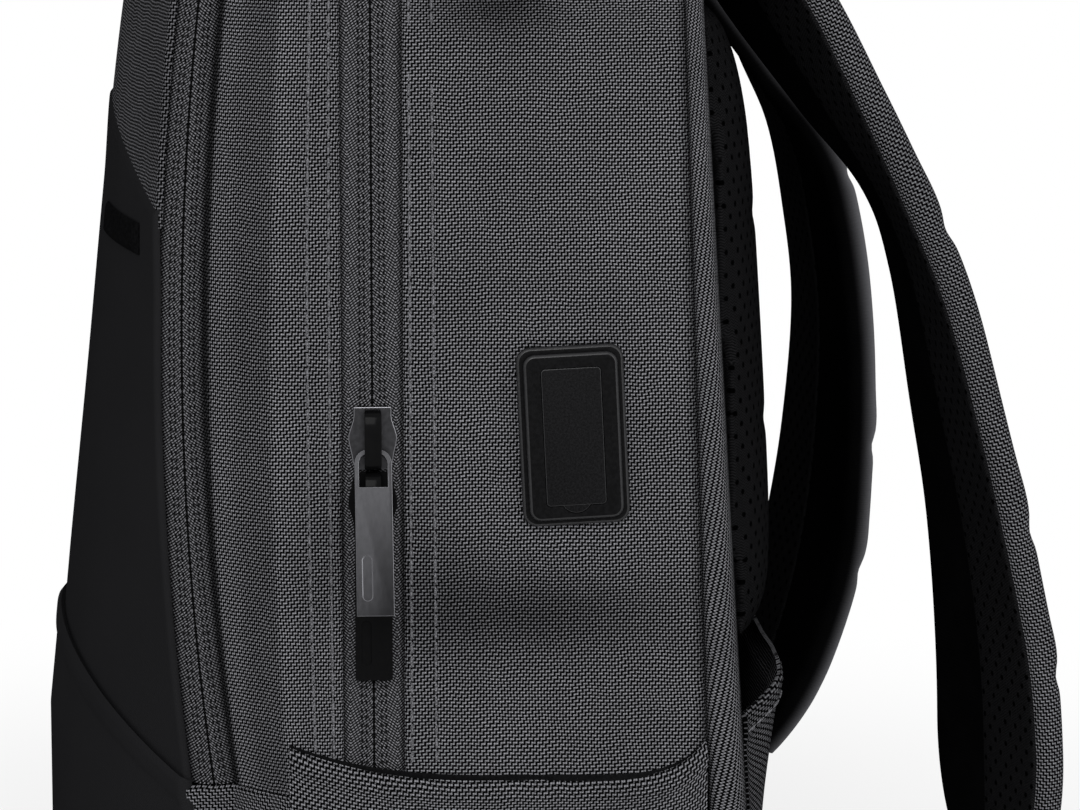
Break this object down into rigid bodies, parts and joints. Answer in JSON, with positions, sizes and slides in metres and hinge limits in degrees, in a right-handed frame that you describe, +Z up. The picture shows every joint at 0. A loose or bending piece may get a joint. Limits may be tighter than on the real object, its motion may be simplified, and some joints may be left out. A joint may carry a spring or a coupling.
{
  "type": "laptop backpack",
  "caption": "Laptop backpack that stands on its base, with a USB charging port in one side, zipped front half and pocket lid, padded mesh back and padded shoulder straps.",
  "frame": {"origin": "on the floor, under the middle of the bag's width", "axes": "+X towards the side with the USB port, +Y towards the back and its straps, +Z up"},
  "size_m": [0.3262, 0.3253, 0.4841],
  "materials": {
    "grey_weave": "dark grey ballistic weave",
    "black_coated_cloth": "black coated cloth",
    "zip_tape": "grey woven zip tape",
    "black_mesh": "black spacer mesh",
    "lining": "plain grey lining",
    "stiffener": "black stiffener board",
    "socket_rubber": "black moulded rubber",
    "black_plastic": "black moulded plastic",
    "socket_steel": "stamped steel",
    "gunmetal": "dark gunmetal plating",
    "webbing": "black woven webbing"
  },
  "bodies": {
    "rear_body": {"right_side_panel": "grey_weave", "left_side_panel": "grey_weave", "top_panel": "grey_weave", "main_zip_rear_tape": "zip_tape", "base_tray": "grey_weave", "base_board": "stiffener", "right_base_overlay": "grey_weave", "left_base_overlay": "grey_weave", "front_base_overlay": "black_coated_cloth", "back_panel": "grey_weave", "back_board": "stiffener", "right_back_pad": "black_mesh", "left_back_pad": "black_mesh", "trolley_band": "grey_weave", "laptop_sleeve": "lining", "power_bank_pocket": "lining", "usb_bezel": "socket_rubber", "usb_clamp_plate": "black_plastic", "usb_housing": "black_plastic", "usb_socket_shell": "socket_steel", "usb_socket_tongue": "black_plastic", "right_handle_patch": "webbing", "left_handle_patch": "webbing", "right_strap_liner": "black_mesh", "right_strap_pad": "grey_weave", "right_lock_tab": "webbing", "right_strap_wing": "grey_weave", "right_adjust_webbing": "webbing", "left_strap_liner": "black_mesh", "left_strap_pad": "grey_weave", "left_lock_tab": "webbing", "left_strap_wing": "grey_weave", "left_adjust_webbing": "webbing"},
    "front_body": {"right_gusset": "grey_weave", "left_gusset": "grey_weave", "top_gusset": "grey_weave", "main_zip_front_tape": "zip_tape", "pocket_zip_rear_tape": "zip_tape", "pocket_divider": "lining"},
    "pocket_lid": {"front_panel_black": "black_coated_cloth", "front_panel_grey": "grey_weave", "front_bar": "socket_rubber", "pocket_zip_lid_tape": "zip_tape"},
    "main_slider_upper": {"main_slider_upper": "gunmetal"},
    "main_slider_lower": {"main_slider_lower": "gunmetal"},
    "main_pull_upper": {"main_pull_upper": "gunmetal"},
    "main_pull_lower": {"main_pull_lower": "black_plastic"},
    "pocket_slider": {"pocket_slider": "gunmetal"},
    "pocket_pull": {"pocket_pull": "gunmetal"},
    "usb_flap": {"usb_flap": "socket_rubber"},
    "haul_handle": {"haul_handle": "webbing"},
    "right_lock": {"right_ladder_lock": "black_plastic", "right_webbing_tail": "webbing"},
    "left_lock": {"left_ladder_lock": "black_plastic", "left_webbing_tail": "webbing"}
  },
  "joints": [
    {"name": "main_opening", "type": "hinge", "parent": "rear_body", "child": "front_body", "pos_m": [0, -0.12461, 0.0949], "axis": [1, 0, 0], "range_deg": [0, 80]},
    {"name": "pocket_opening", "type": "hinge", "parent": "front_body", "child": "pocket_lid", "pos_m": [0, -0.12461, 0.0949], "axis": [1, 0, 0], "range_deg": [0, 55]},
    {"name": "main_slider_upper_travel", "type": "slide", "parent": "rear_body", "child": "main_slider_upper", "axis": [0, 0, 1], "range_m": [0, 0.135]},
    {"name": "main_slider_lower_travel", "type": "slide", "parent": "rear_body", "child": "main_slider_lower", "axis": [0, 0, 1], "range_m": [-0.026, 0]},
    {"name": "main_pull_upper_swing", "type": "hinge", "parent": "main_slider_upper", "child": "main_pull_upper", "pos_m": [0.15345, -0.02, 0.20273], "axis": [0, -1, 0], "range_deg": [0, 110]},
    {"name": "main_pull_lower_swing", "type": "hinge", "parent": "main_slider_lower", "child": "main_pull_lower", "pos_m": [0.15345, -0.02, 0.18253], "axis": [0, -1, 0], "range_deg": [0, 18]},
    {"name": "pocket_slider_travel", "type": "hinge", "parent": "front_body", "child": "pocket_slider", "pos_m": [0, 0.922, 0.225], "axis": [-1, 0, 0], "range_deg": [0, 9]},
    {"name": "pocket_pull_swing", "type": "hinge", "parent": "pocket_slider", "child": "pocket_pull", "pos_m": [-0.13515, -0.07724, 0.18594], "axis": [0, 0.9994, 0.035], "range_deg": [0, 110]},
    {"name": "usb_flap_swing", "type": "hinge", "parent": "rear_body", "child": "usb_flap", "pos_m": [0.1573, 0.0402, 0.22858], "axis": [0, -0.9989, -0.0471], "range_deg": [0, 115]},
    {"name": "haul_handle_swing", "type": "hinge", "parent": "rear_body", "child": "haul_handle", "pos_m": [0, 0.042, 0.4526], "axis": [1, 0, 0], "range_deg": [-60, 60]},
    {"name": "right_lock_swing", "type": "hinge", "parent": "rear_body", "child": "right_lock", "pos_m": [0.09583, 0.1853, 0.0532], "axis": [0.945, 0.3261, 0.0266], "range_deg": [0, 30]},
    {"name": "left_lock_swing", "type": "hinge", "parent": "rear_body", "child": "left_lock", "pos_m": [-0.09191, 0.1226, 0.05019], "axis": [0.973, 0.23, -0.0177], "range_deg": [0, 30]}
  ]
}
